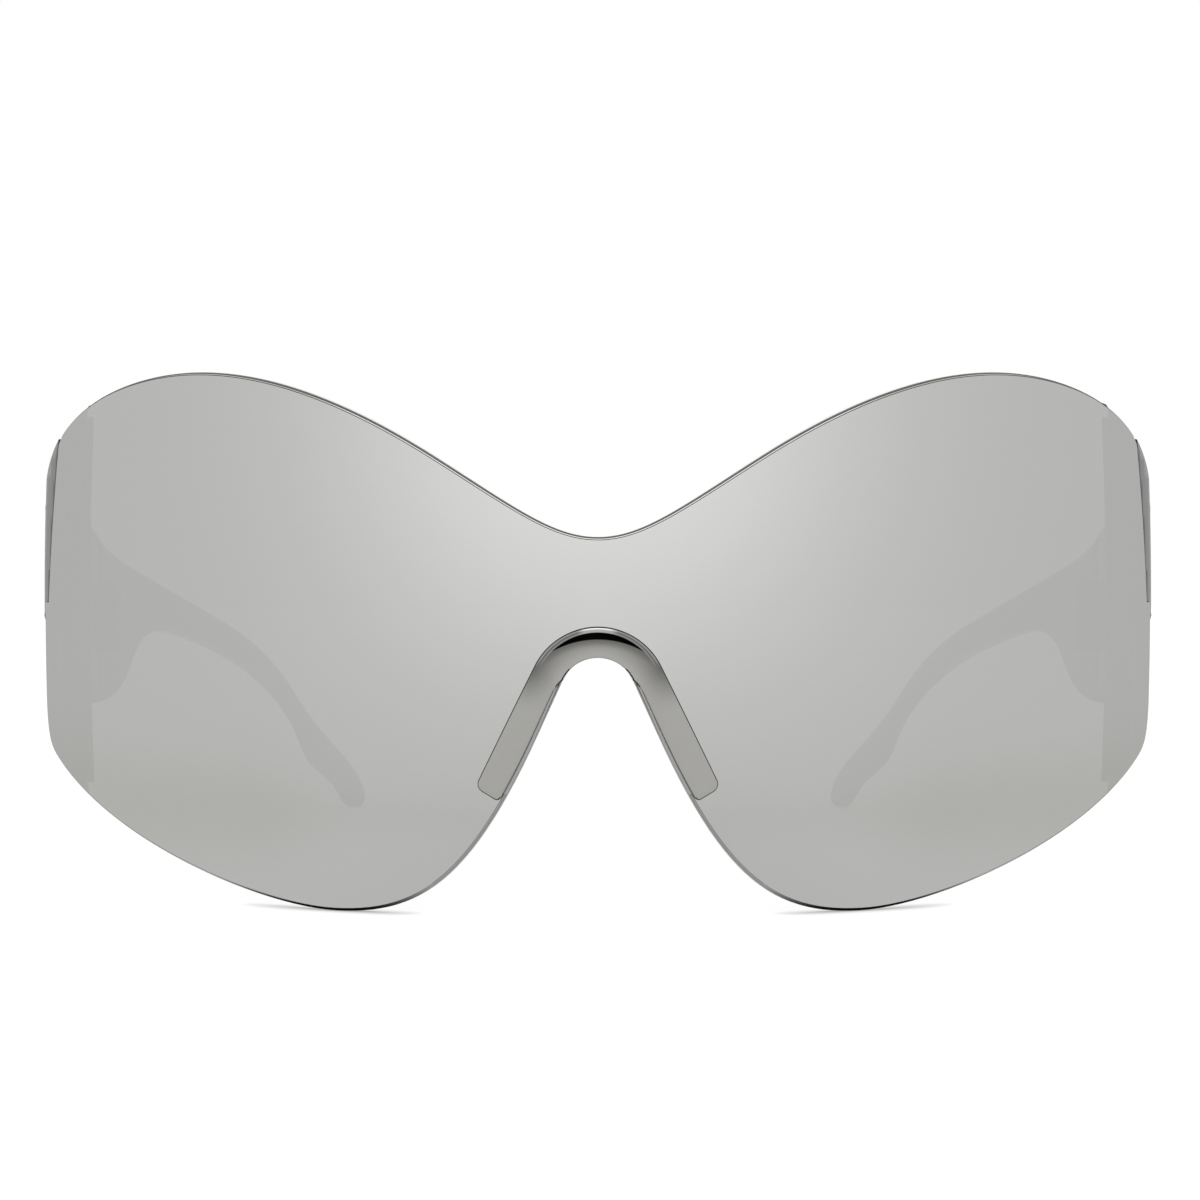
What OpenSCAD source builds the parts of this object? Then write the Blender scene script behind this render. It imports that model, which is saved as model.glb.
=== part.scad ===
// Rimless shield sunglasses: one wrapped lens, moulded end pieces, screwed hinges and two temples.
// X runs across the face, Y from the lens back to the ears, Z up from the table.
// Left and right are the wearer's, so the left side lies at +X.

/* [Lens] */
// Width of the lens across its side edges
lens_w = 150.6; // [140:0.2:158]
// Height of the lens from its cheek lobes to its brow peaks
lens_h = 66.2; // [60:0.1:70]
// Thickness of the lens
lens_t = 2; // [1.6:0.1:2.4]
// Angle from straight ahead round to each side edge, which sets the wrap of the lens
edge_angle = 62.4; // [60:0.2:64]
// Radius of the front face seen from the side
crown_r = 500; // [400:10:700]
// Height of the dip between the two brow peaks
brow_dip_z = 44.8; // [43:0.2:48]

/* [Nose] */
// Radius of the arch over the nose
nose_arch_r = 4.6; // [4:0.1:5.2]
// Height of the top of the nose arch
nose_top_z = 30.9; // [29:0.1:32]
// Lean of each nose flank from upright
nose_lean = 24.7; // [22:0.1:27]
// Width of the saddle's lip on the face of the lens
lip_w = 3.7; // [3.2:0.1:4.2]
// Radius of the rounded outer corners of the lip's feet
lip_foot_r = 1.1; // [0.8:0.1:1.4]
// Thickness of the saddle's lips
lip_t = 0.9; // [0.7:0.05:1.1]
// Flare of the lip's outer edges, wider towards the feet
lip_flare = 1.3; // [0:0.1:2]
// Rise of the feet's lower edges, higher away from the nose
foot_rise = 31; // [22:1:34]
// Width of the lens's own edge left bare beside each leg
bare_w = 0.5; // [0.4:0.05:0.7]
// Wall between the nose arch and the lens above it
crown_wall = 3.3; // [3:0.1:3.4]
// Depth of the crescent recess in the saddle's crown
recess_depth = 2.4; // [1.2:0.1:3]
// Wall between that recess and the lens
recess_wall = 0.3; // [0.25:0.05:0.5]
// Wall between the nose arch and that recess
recess_rise = 2.2; // [1.9:0.1:2.4]
// Radius of the recess's lower edge
recess_arc_r = 11; // [10:0.5:12.5]
// Height of the lower end of the saddle's legs
saddle_foot_z = 13.9; // [12.5:0.1:16]
// Depth of the nose wings behind the front of the lens
wing_depth = 9; // [7:0.5:11]
// Thickness of the nose wings
wing_t = 1.5; // [1.2:0.1:1.8]
// Splay of the nose wings, wider towards the face
wing_splay = 12; // [8:1:16]

/* [End pieces] */
// Width of the flange behind each side of the lens
flange_w = 10; // [8:0.5:12]
// Thickness of that flange
flange_t = 1; // [0.8:0.1:1.4]
// Height of the top of the tongue that fills the lens's side notch
tongue_top_z = 58.4; // [57:0.2:60]
// Height of the bottom of that tongue
tongue_foot_z = 37.2; // [35:0.2:39]
// How far the tongue reaches forward of the lens's side edge
tongue_reach = 4.2; // [4:0.2:6]
// Lean of the tongue's front edge from upright
tongue_lean = 6.6; // [5:0.2:8]

/* [Temples] */
// How far the middle of each temple's root lies inside the lens's side edge
root_inset = 3.4; // [3:0.1:3.7]
// Distance of the hinge behind the lens's side edge
hinge_reach = 13; // [12:0.1:15]
// Height of the top of the temple at its hinge
root_top_z = 46.7; // [45.5:0.1:47.5]
// Height of the underside of the temple at its hinge
root_foot_z = 22.9; // [21.5:0.1:24]
// Length of the temple behind its hinge
temple_l = 97; // [92:0.5:102]
// Thickness of the temple at its hinge
temple_t = 3; // [2.8:0.1:3.3]
// Thickness of the temple at its tip
tip_t = 2.1; // [1.8:0.1:2.4]
// Radius of the inward bow of the temple
bow_r = 400; // [340:10:520]
// Toe-in of the temple at its hinge
toe_in = 10; // [8:0.5:12]

/* [Hinges] */
// Height of the hinge barrel and of its leaves
hinge_h = 9; // [8:0.5:11]
// Radius of the hinge barrel
barrel_r = 1.5; // [1.4:0.05:1.6]
// Number of knuckles in the barrel, shared by the two leaves
knuckles = 5; // [3:2:7]
// Length of each leaf from the hinge axis
leaf_l = 9.5; // [8.5:0.5:11]
// Thickness of each leaf
leaf_t = 0.9; // [0.7:0.1:1.1]
// Depth that each leaf is let into the plastic
inlay = 0.4; // [0.2:0.1:0.6]
// Radius of the hinge screw's shank
pin_r = 0.7; // [0.6:0.05:0.8]
// Radius of the small screws that hold the leaves
leaf_screw_r = 0.6; // [0.5:0.05:0.7]
// Length of those screws in the plastic
leaf_screw_l = 2; // [1.6:0.1:2.2]

/* [Fits] */
// Gap left for adhesive between the lens and what is bonded to it
bond_gap = 0.05; // [0.03:0.01:0.08]
// Gap between the tongue and its notch in the lens
notch_gap = 0.12; // [0.08:0.02:0.2]
// Clearance round the shanks of the screws
pin_gap = 0.04; // [0.02:0.01:0.08]
// Gap between neighbouring knuckles
knuckle_gap = 0.08; // [0.05:0.01:0.12]
// Gap between the temple and the end piece while the temple is open
butt_gap = 0.15; // [0.1:0.05:0.3]
// Gap between the barrel and the plastic beside it
barrel_gap = 0.2; // [0.15:0.05:0.3]
// Overrun of every cutting shape
over = 1; // [0.5:0.5:2]

/* [Hidden] */
$fn = 64;
round_fn = 256;
bow_fn = 512;
curve_steps = 12;

// Cubic curve from a to d, without its last point
function curve(a, b, c, d) = [for (i = [0 : curve_steps - 1])
    let (t = i / curve_steps, s = 1 - t)
    s * s * s * a + 3 * s * s * t * b + 3 * s * t * t * c + t * t * t * d];

// Chain of cubic curves through every third point of a list
function chain(p) = concat(
    [for (k = [0 : 3 : len(p) - 4]) each curve(p[k], p[k + 1], p[k + 2], p[k + 3])],
    [p[len(p) - 1]]);

// Share pairs laid over a width and a height, from a corner
function spread(shares, w, h, corner = [0, 0]) = [for (s = shares) corner + [s[0] * w, s[1] * h]];

// Points of an arc, by its centre, radius and two angles
function arc(centre, r, a0, a1) = [for (i = [0 : curve_steps])
    let (a = a0 + (a1 - a0) * i / curve_steps)
    centre + r * [cos(a), sin(a)]];

// Point at distance d along direction n and at distance e along direction m
function meet(n, d, m, e) = [d * m[1] - e * n[1], e * n[0] - d * m[0]] / (n[0] * m[1] - n[1] * m[0]);

function without_first(p) = [for (i = [1 : len(p) - 1]) p[i]];
function mirrored(p) = [for (i = [len(p) - 1 : -1 : 1]) [-p[i][0], p[i][1]]];

// Lens: half its outline runs from the brow dip over the peak and the lobe to the nose flank
half_w = lens_w / 2;
wrap_r = half_w / sin(edge_angle);
edge_y = wrap_r - wrap_r * cos(edge_angle);
crown_share = 0.58;
crown_z = lens_h * crown_share;
dip_pull_share = 0.056;
brow_shares = [[0.162, 0.755], [0.262, 0.828], [0.448, 0.964], [0.588, 1], [0.694, 1],
    [0.816, 1], [1, 0.948], [1, 0.78]];
cheek_shares = [[1, 0.526], [1, 0.282], [0.994, 0.273], [0.963, 0.24], [0.84, 0.11],
    [0.556, 0], [0.424, 0], [0.286, 0]];
flank_pull_share = 0.061;
flank_start_share = 0.33;

// Nose gap: a round arch tangent to two straight flanks
arch_z = nose_top_z - nose_arch_r;
flank_out = [cos(nose_lean), sin(nose_lean)];
flank_up = [-sin(nose_lean), cos(nose_lean)];
flank_top = [0, arch_z] + nose_arch_r * flank_out;
function flank_at(z) = [flank_top[0] + (flank_top[1] - z) * tan(nose_lean), z];
flank_foot = flank_at(saddle_foot_z);
leg_l = (flank_top[1] - saddle_foot_z) / cos(nose_lean);
wing_end_share = 0.4;

// Curve of the lens's edge from the bottom of a lobe up to the straight flank
lobe_line = chain(concat(spread([cheek_shares[6], cheek_shares[7]], half_w, lens_h),
    [flank_at(lens_h * flank_pull_share), flank_at(lens_h * flank_start_share)]));

half_outline = concat(
    chain(concat([[0, brow_dip_z], [half_w * dip_pull_share, brow_dip_z]],
        spread(brow_shares, half_w, lens_h))),
    chain(concat(spread(cheek_shares, half_w, lens_h),
        [flank_at(lens_h * flank_pull_share), flank_at(lens_h * flank_start_share)])));

// End pieces
hinge_y = edge_y + hinge_reach;
flange_angle = asin(flange_w / wrap_r);
flange_inset = 2 * notch_gap;
root_angle_share = 0.4;
tongue_front_y = edge_y - tongue_reach;
function tongue_line(z) = tongue_front_y + (tongue_top_z - z) * tan(tongue_lean);

// Hinge, in its own frame: x points out of the side, y back along the temple
face_x = barrel_r + barrel_gap;
leaf_back_x = face_x + inlay;
leaf_front_x = leaf_back_x - leaf_t;
leaf_start = barrel_r + barrel_gap;
foot_reach = leaf_start + leaf_t;
hinge_z = (root_top_z + root_foot_z) / 2;
knuckle_h = (hinge_h - (knuckles - 1) * knuckle_gap) / knuckles;
leaf_screw_y = (leaf_start + leaf_l) / 2;
leaf_screw_rise = hinge_h / 4;
head_share = 1.9;
screw_head_r = leaf_screw_r * head_share;
screw_head_t = leaf_screw_r;
pin_head_share = 0.85;
pin_head_r = barrel_r * pin_head_share;
pin_head_t = pin_r;
slot_w = pin_r / 2;
root_out = [cos(toe_in), sin(toe_in)];
root = [half_w - root_inset, hinge_y];
hinge_axis = root - (temple_t / 2 + face_x) * root_out;

// Temple: two bowed faces, the inner one flatter so that the tip is thinner
outer_face_r = bow_r + temple_t / 2;
inner_face_r = 1 / (1 / outer_face_r - 2 * (temple_t - tip_t) / (temple_l * temple_l));

// Side view from the tongue's top along the wall and the temple to the tip and back underneath.
// The wall's points are shares of its length and of its drop, the temple's of its length and height.
wall_top_shares = [[0, 0.36], [0.3, 0.27], [0.72, 0.16], [1, 0]];
wall_foot_shares = [[1, 0], [0.76, 0.14], [0.17, 0.69], [-0.16, 1]];
temple_shares = [[0.023, 0.962], [0.071, 0.934], [0.132, 0.904], [0.262, 0.842], [0.396, 0.775],
    [0.518, 0.702], [0.602, 0.647], [0.68, 0.567], [0.74, 0.463], [0.794, 0.368], [0.83, 0.323],
    [0.875, 0.263], [0.917, 0.208], [0.955, 0.163], [0.98, 0.099], [0.997, 0.056], [1.003, 0],
    [0.972, 0], [0.951, 0], [0.939, 0.056], [0.908, 0.099], [0.877, 0.139], [0.85, 0.158],
    [0.825, 0.201], [0.805, 0.242], [0.794, 0.291], [0.767, 0.345], [0.722, 0.434], [0.65, 0.514],
    [0.57, 0.57], [0.479, 0.632], [0.376, 0.677], [0.303, 0.692], [0.247, 0.702], [0.18, 0.715],
    [0.138, 0.617], [0.103, 0.533], [0.071, 0.49]];
root_top = [hinge_y, root_top_z];
root_foot = [hinge_y, root_foot_z];
temple_line = chain(concat([root_top], spread(temple_shares, temple_l, root_top_z, [hinge_y, 0]),
    [root_foot]));
temple_back_y = max([for (p = temple_line) p[0]]);
side_line = concat(
    [[tongue_front_y, tongue_top_z]],
    chain(spread(wall_top_shares, hinge_reach, tongue_top_z - root_top_z, [edge_y, root_top_z])),
    without_first(temple_line),
    without_first(chain(spread(wall_foot_shares, hinge_reach, tongue_foot_z - root_foot_z,
        [edge_y, root_foot_z]))));

// Moves the model so that the table point under its middle is the origin
module placed() {
    translate([0, -(temple_back_y - lip_t) / 2, 0]) children();
}

// A flat X-Z shape carried along Y
module depthwise(y0, y1) {
    translate([0, y1, 0]) rotate([90, 0, 0]) linear_extrude(height = y1 - y0) children();
}

// A flat Y-Z shape carried along X
module sidewise(x0, x1) {
    translate([x0, 0, 0]) rotate([90, 0, 90]) linear_extrude(height = x1 - x0) children();
}

// Barrel-shaped solid whose face lies a given depth inside the front of the lens
module barrel(depth) {
    translate([0, wrap_r, 0]) rotate_extrude($fn = round_fn) intersection() {
        translate([wrap_r - crown_r, crown_z]) circle(r = crown_r - depth, $fn = round_fn);
        translate([0, -2 * over]) square([wrap_r + lip_t + over, lens_h + 4 * over]);
    }
}

module shell(outer_depth, inner_depth) {
    difference() {
        barrel(outer_depth);
        barrel(inner_depth);
    }
}

// Wedge between two angles from straight ahead, seen from above
module sector(a0, a1) {
    reach = 4 * wrap_r;
    translate([0, wrap_r, -3 * over]) linear_extrude(height = lens_h + 6 * over)
        polygon([[0, 0], reach * [sin(a0), -cos(a0)], reach * [sin(a1), -cos(a1)]]);
}

// Whole outline of the lens, closed across the nose
module lens_face() {
    polygon(concat(half_outline, mirrored(half_outline)));
}

// Outline of the lip round the arch and down both legs, closed across the nose
module lip_form() {
    outer_lean = nose_lean + lip_flare;
    out = [cos(outer_lean), sin(outer_lean)];
    down = [sin(foot_rise), -cos(foot_rise)];
    side_d = out * [0, arch_z] + nose_arch_r + lip_w - lip_foot_r;
    corner = meet(out, side_d, down, down * flank_foot - lip_foot_r);
    half = concat(arc([0, arch_z], nose_arch_r + lip_w, 90, outer_lean),
        arc(corner, lip_foot_r, outer_lean, foot_rise - 90), [flank_foot]);
    polygon(concat(half, mirrored(half)));
}

// Pocket in the lens over the arch, which takes the saddle's crown
module crown_pocket(gap) {
    shoulder_z = flank_top[1] + gap;
    intersection() {
        translate([0, arch_z]) circle(r = nose_arch_r + crown_wall - gap);
        translate([-half_w, shoulder_z]) square([lens_w, lens_h]);
    }
}

// Strip beside each leg where the edge of the lens stays bare
module bare_edge() {
    half = concat([[0, flank_top[1]], flank_top + [bare_w, 0]],
        [for (i = [len(lobe_line) - 1 : -1 : 0]) lobe_line[i] + [bare_w, 0]]);
    polygon(concat(half, mirrored(half)));
}

// Crescent between the lens's pocket and a flatter arc under it
module crown_crescent() {
    difference() {
        translate([0, arch_z]) circle(r = nose_arch_r + crown_wall - recess_wall);
        translate([0, nose_top_z + recess_rise - recess_arc_r]) circle(r = recess_arc_r, $fn = round_fn);
    }
}

// Nose gap itself, running down past the saddle
module nose_gap() {
    half = concat(arc([0, arch_z], nose_arch_r, 90, nose_lean), [flank_at(-over)]);
    polygon(concat(half, mirrored(half)));
}

// Side view of the notch in the lens, or of the tongue that fills it
module notch_side(gap, back_y) {
    high = lens_h + 2 * over;
    low = tongue_foot_z + gap;
    polygon([[tongue_line(high) + gap, high], [back_y, high], [back_y, low], [tongue_line(low) + gap, low]]);
}

module shield_lens() {
    color("silver") placed() difference() {
        intersection() {
            shell(0, lens_t);
            depthwise(-over, wrap_r) lens_face();
            sector(-edge_angle, edge_angle);
        }
        depthwise(-over, wrap_r / 2) nose_gap();
        depthwise(-over, wrap_r / 2) crown_pocket(0);
        for (side = [0, 1]) mirror([side, 0, 0])
            sidewise(half_w / 2, lens_w) notch_side(0, wrap_r);
    }
}

// Flat plate on each leg that rests on the side of the nose
module nose_wing() {
    end_r = wing_depth * wing_end_share;
    straight = wing_depth - end_r;
    low = lip_foot_r / 2;
    intersection() {
        barrel(lens_t + lip_t / 2);
        translate([flank_foot[0] + bare_w, 0, flank_foot[1]]) rotate([0, -nose_lean, 0]) rotate(-wing_splay)
            sidewise(0, wing_t) polygon(concat(
                [[0, low]],
                arc([straight, low + end_r], end_r, -90, 0),
                arc([straight, leg_l - end_r], end_r, 0, 90),
                [[0, leg_l]]));
    }
}

module nose_saddle() {
    color("dimgray") placed() {
        difference() {
            intersection() {
                shell(-lip_t, lens_t + lip_t);
                depthwise(-lip_t - over, wrap_r / 2) difference() {
                    lip_form();
                    nose_gap();
                    bare_edge();
                }
            }
            difference() {
                shell(-bond_gap, lens_t + bond_gap);
                depthwise(-lip_t - over, wrap_r / 2) crown_pocket(bond_gap);
            }
            depthwise(-lip_t - over, recess_depth - lip_t) crown_crescent();
        }
        for (side = [0, 1]) mirror([side, 0, 0]) nose_wing();
    }
}

// Half space in front of (-1) or behind (1) the joint between an end piece and its temple
module butt_side(towards) {
    reach = 2 * temple_l;
    start = towards > 0 ? butt_gap / 2 : -reach - butt_gap / 2;
    translate(hinge_axis) rotate(toe_in) translate([-reach / 2, start, 0])
        cube([reach, reach, lens_h]);
}

// Space between the outer and the inner bowed face
module temple_band() {
    linear_extrude(height = lens_h) translate(root) rotate(toe_in) difference() {
        translate([-bow_r, 0]) circle(r = outer_face_r, $fn = bow_fn);
        translate([-temple_t / 2 - inner_face_r, 0]) circle(r = inner_face_r, $fn = bow_fn);
    }
}

module at_hinge() {
    translate([hinge_axis[0], hinge_axis[1], hinge_z]) rotate(toe_in) children();
}

// A pair of round bars across a leaf, towards the front (-1) or the back (1)
module screw_pair(towards, r, x0, x1) {
    for (rise = [-leaf_screw_rise, leaf_screw_rise])
        translate([x0, towards * leaf_screw_y, rise]) rotate([0, 90, 0]) cylinder(r = r, h = x1 - x0);
}

// Seat of a leaf and its screws in the plastic
module leaf_seat(towards) {
    start = leaf_start - bond_gap;
    y0 = towards > 0 ? start : -leaf_l - bond_gap;
    at_hinge() {
        translate([leaf_front_x - over, y0, -hinge_h / 2 - bond_gap])
            cube([leaf_t + over + bond_gap, leaf_l + bond_gap - start, hinge_h + 2 * bond_gap]);
        screw_pair(towards, leaf_screw_r + pin_gap, leaf_front_x, leaf_back_x + leaf_screw_l + pin_gap);
    }
}

module end_piece() {
    join_angle = flange_angle * root_angle_share;
    difference() {
        union() {
            intersection() {
                shell(lens_t + bond_gap, lens_t + bond_gap + flange_t);
                depthwise(0, wrap_r) offset(delta = -flange_inset) lens_face();
                sector(edge_angle - flange_angle, edge_angle);
            }
            intersection() {
                union() {
                    intersection() {
                        temple_band();
                        barrel(0);
                    }
                    intersection() {
                        shell(lens_t + bond_gap, lens_t + bond_gap + flange_t);
                        sector(edge_angle - join_angle, edge_angle + join_angle);
                    }
                }
                sidewise(0, lens_w) polygon(side_line);
                butt_side(-1);
            }
            intersection() {
                shell(0, lens_t + bond_gap + flange_t);
                depthwise(0, wrap_r) lens_face();
                sidewise(0, lens_w) notch_side(notch_gap, wrap_r);
                sector(edge_angle - flange_angle, edge_angle);
            }
        }
        difference() {
            intersection() {
                shell(-over, lens_t + bond_gap);
                sector(0, edge_angle + asin(notch_gap / wrap_r));
            }
            sidewise(0, lens_w) notch_side(notch_gap, wrap_r);
        }
        leaf_seat(-1);
    }
}

module temple() {
    difference() {
        intersection() {
            temple_band();
            sidewise(0, lens_w) polygon(side_line);
            butt_side(1);
        }
        leaf_seat(1);
    }
}

// Leaf with every other knuckle, first being the lowest of them
module leaf(towards, first) {
    step = knuckle_h + knuckle_gap;
    side = towards > 0 ? 0 : 1;
    at_hinge() difference() {
        union() {
            mirror([0, side, 0]) translate([leaf_front_x, leaf_start, -hinge_h / 2])
                cube([leaf_t, leaf_l - leaf_start, hinge_h]);
            for (k = [first : 2 : knuckles - 1]) translate([0, 0, k * step - hinge_h / 2]) {
                cylinder(r = barrel_r, h = knuckle_h);
                mirror([0, side, 0]) translate([barrel_r - leaf_t, 0, 0]) cube([leaf_t, foot_reach, knuckle_h]);
            }
        }
        translate([0, 0, -hinge_h / 2 - over]) cylinder(r = pin_r + pin_gap, h = hinge_h + 2 * over);
        screw_pair(towards, leaf_screw_r + pin_gap, leaf_front_x - over, leaf_back_x + over);
    }
}

module leaf_screws(towards) {
    at_hinge() difference() {
        union() {
            screw_pair(towards, leaf_screw_r, leaf_front_x - screw_head_t, leaf_back_x + leaf_screw_l);
            screw_pair(towards, screw_head_r, leaf_front_x - screw_head_t, leaf_front_x);
        }
        for (rise = [-leaf_screw_rise, leaf_screw_rise])
            translate([leaf_front_x - screw_head_t, towards * leaf_screw_y, rise])
                cube([screw_head_t, 2 * screw_head_r + over, slot_w], center = true);
    }
}

module hinge_screw() {
    at_hinge() difference() {
        union() {
            translate([0, 0, -hinge_h / 2]) cylinder(r = pin_r, h = hinge_h + pin_head_t);
            translate([0, 0, hinge_h / 2]) cylinder(r = pin_head_r, h = pin_head_t);
        }
        translate([0, 0, hinge_h / 2 + pin_head_t])
            cube([2 * pin_head_r + over, slot_w, pin_head_t], center = true);
    }
}

module end_piece_left() {
    color("gray") placed() end_piece();
}

module end_piece_right() {
    color("gray") placed() mirror([1, 0, 0]) end_piece();
}

module front_leaf_left() {
    color("lightgray") placed() leaf(-1, 0);
}

module front_leaf_right() {
    color("lightgray") placed() mirror([1, 0, 0]) leaf(-1, 0);
}

module front_leaf_screws_left() {
    color("white") placed() leaf_screws(-1);
}

module front_leaf_screws_right() {
    color("white") placed() mirror([1, 0, 0]) leaf_screws(-1);
}

module hinge_screw_left() {
    color("white") placed() hinge_screw();
}

module hinge_screw_right() {
    color("white") placed() mirror([1, 0, 0]) hinge_screw();
}

module temple_left() {
    color("gray") placed() temple();
}

module temple_right() {
    color("gray") placed() mirror([1, 0, 0]) temple();
}

module temple_leaf_left() {
    color("lightgray") placed() leaf(1, 1);
}

module temple_leaf_right() {
    color("lightgray") placed() mirror([1, 0, 0]) leaf(1, 1);
}

module temple_leaf_screws_left() {
    color("white") placed() leaf_screws(1);
}

module temple_leaf_screws_right() {
    color("white") placed() mirror([1, 0, 0]) leaf_screws(1);
}

shield_lens();
nose_saddle();
end_piece_left();
end_piece_right();
front_leaf_left();
front_leaf_right();
front_leaf_screws_left();
front_leaf_screws_right();
hinge_screw_left();
hinge_screw_right();
temple_left();
temple_right();
temple_leaf_left();
temple_leaf_right();
temple_leaf_screws_left();
temple_leaf_screws_right();
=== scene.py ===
# Shield sunglasses, open on a white table. Shapes are drawn in millimetres.
import math
import bmesh
import bpy
from mathutils import Matrix, Vector


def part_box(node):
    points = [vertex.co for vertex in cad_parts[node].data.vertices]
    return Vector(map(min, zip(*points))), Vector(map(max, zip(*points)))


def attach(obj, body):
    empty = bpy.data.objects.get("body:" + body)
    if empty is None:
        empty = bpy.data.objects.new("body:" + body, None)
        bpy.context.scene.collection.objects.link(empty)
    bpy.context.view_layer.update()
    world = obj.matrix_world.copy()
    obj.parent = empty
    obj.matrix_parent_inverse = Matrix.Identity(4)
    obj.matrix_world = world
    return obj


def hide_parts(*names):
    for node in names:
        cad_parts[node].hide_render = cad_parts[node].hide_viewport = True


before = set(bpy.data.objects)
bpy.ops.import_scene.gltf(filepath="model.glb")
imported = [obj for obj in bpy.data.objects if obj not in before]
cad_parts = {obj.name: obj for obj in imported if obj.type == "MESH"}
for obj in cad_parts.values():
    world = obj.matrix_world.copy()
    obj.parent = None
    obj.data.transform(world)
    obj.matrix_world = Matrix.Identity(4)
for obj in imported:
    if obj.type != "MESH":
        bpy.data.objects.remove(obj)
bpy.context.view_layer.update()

lens = {
    "width": 150.6, "height": 66.2, "thickness": 2.0, "edgeAngle": 62.4,
    "crownRadius": 500.0, "crownShare": 0.58, "dipHeight": 45.2, "dipPullShare": 0.07,
    "browShares": [(0.13, 0.7349), (0.262, 0.83), (0.448, 0.964), (0.588, 1), (0.694, 1),
                   (0.816, 1), (1, 0.948), (1, 0.78)],
    "cheekShares": [(1, 0.526), (1, 0.282), (0.994, 0.273), (0.963, 0.24), (0.84, 0.11),
                    (0.556, 0), (0.424, 0), (0.286, 0)],
    "flankPullShare": 0.061, "flankStartShare": 0.33,
    "chamfer": 0.35, "roundOff": 0.25, "line": 0.055, "groundRise": 4.0, "zoneLean": 2.39,
    "cell": 1.6, "rowHeight": 4.0,
}
nose = {
    "archRadius": 4.6, "topHeight": 30.9, "lean": 24.7, "lipWidth": 3.7, "lipThickness": 0.9,
    "lipFlare": 1.3, "footRise": 31.0, "footRadius": 1.1, "footHeight": 13.4, "bareWidth": 0.5,
    "bareFade": 1.3, "footCorner": 0.6, "shadeLow": 27.6, "shadeHigh": 29.6,
    "crownWall": 3.3, "lipRound": 0.3, "gap": 0.05,
    "recessDepth": 2.4, "recessWall": 0.3, "recessRise": 2.2, "recessArc": 11.0,
    "wingDepth": 9.0, "wingThickness": 1.5, "wingSplay": 12.0, "wingRound": 0.5,
    "wingEndShare": 0.4, "faceTurn": -0.8, "edgeTurn": 0.5, "wide": 16.0, "low": 12.0, "high": 36.0,
}
flange = {"width": 10.0, "thickness": 1.0, "inset": 0.24, "round": 0.3, "gap": 0.05}
wall = {
    "topShares": [(0, 0.36), (0.3, 0.27), (0.72, 0.16), (1, 0)],
    "footShares": [(1, 0), (0.76, 0.14), (0.17, 0.69), (-0.16, 1)],
    "start": 2.0, "round": 0.5, "trimDepth": 3.0, "trimGap": 0.02,
}
notch = {"topHeight": 58.4, "footHeight": 37.2, "reach": 4.2, "lean": 6.6, "gap": 0.12, "round": 0.08}
temple = {
    "inset": 3.4, "reach": 13.0, "topHeight": 46.7, "footHeight": 22.9, "length": 97.0,
    "thickness": 3.0, "tipThickness": 2.1, "bowRadius": 400.0, "toeIn": 10.0, "round": 0.7,
    "gap": 0.15, "leanOver": 2.0,
    "shares": [(0.023, 0.962), (0.071, 0.934), (0.132, 0.904), (0.262, 0.842), (0.396, 0.775),
               (0.518, 0.702), (0.602, 0.647), (0.68, 0.567), (0.74, 0.463), (0.794, 0.368),
               (0.83, 0.323), (0.875, 0.263), (0.917, 0.208), (0.955, 0.163), (0.98, 0.099),
               (0.997, 0.056), (1.003, 0), (0.972, 0), (0.951, 0), (0.939, 0.056), (0.908, 0.099),
               (0.877, 0.139), (0.85, 0.158), (0.825, 0.201), (0.805, 0.242), (0.794, 0.291),
               (0.767, 0.345), (0.722, 0.434), (0.65, 0.514), (0.57, 0.57), (0.479, 0.632),
               (0.376, 0.677), (0.303, 0.692), (0.247, 0.702), (0.18, 0.715), (0.138, 0.617),
               (0.103, 0.533), (0.071, 0.49)],
}
hinge = {
    "height": 9.0, "barrelRadius": 1.5, "barrelGap": 0.2, "knuckles": 5, "knuckleGap": 0.08,
    "leafLength": 9.5, "leafThickness": 0.9, "inlay": 0.4, "pinRadius": 0.7,
    "screwRadius": 0.6, "screwLength": 2.0, "headShare": 1.9, "pinHeadShare": 0.85,
    "leafRound": 0.15, "knuckleRound": 0.1, "footRound": 0.05, "screwRound": 0.08,
    "headRoundShare": 0.35, "slotShare": 0.25, "slotDepthShare": 0.5, "slotTurn": 25.0, "slotLead": 10.0,
}
look = {
    "light": 1.25,
    "glow": 0.9, "glowDip": 0.142, "glowWidth": 31.6, "glowHeight": 11.5, "glowSpread": 11.5,
    "band": 0.09, "bandHeight": -8.8, "bandSag": 2.6, "bandWide": 1.6, "bandNarrow": 0.7,
    "bandBlue": 1.35, "bandWeak": 0.35, "bandStart": 0.75, "bandFull": 0.35,
    # chamfer levels: painted highlight along the brow, painted shade along the nose flanks and the upper
    # corners
    "browFacetHighlight": 1.75, "flankFacetShade": 0.72, "browFoot": 36.0, "browTop": 40.0,
    "browStart": 26.0, "browEnd": 38.0, "flankStart": 20.0, "flankEnd": 25.0,
    "cornerFacetShade": 0.3, "cornerStart": 50.0, "cornerEnd": 58.0, "cornerFoot": 44.0,
    "hazeScale": 40, "hazeDull": (0.997, 0.997, 0.977), "hazeBright": (1.003, 1.003, 0.985),
    "filmRough": 0.02,
    "room": 1.0, "table": 0.9, "tableSpan": 4000.0, "tableDrop": 0.02, "paper": 0.13,
    "contact": 2.2, "contactDepth": 0.6, "contactSamples": 8,
}
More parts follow.
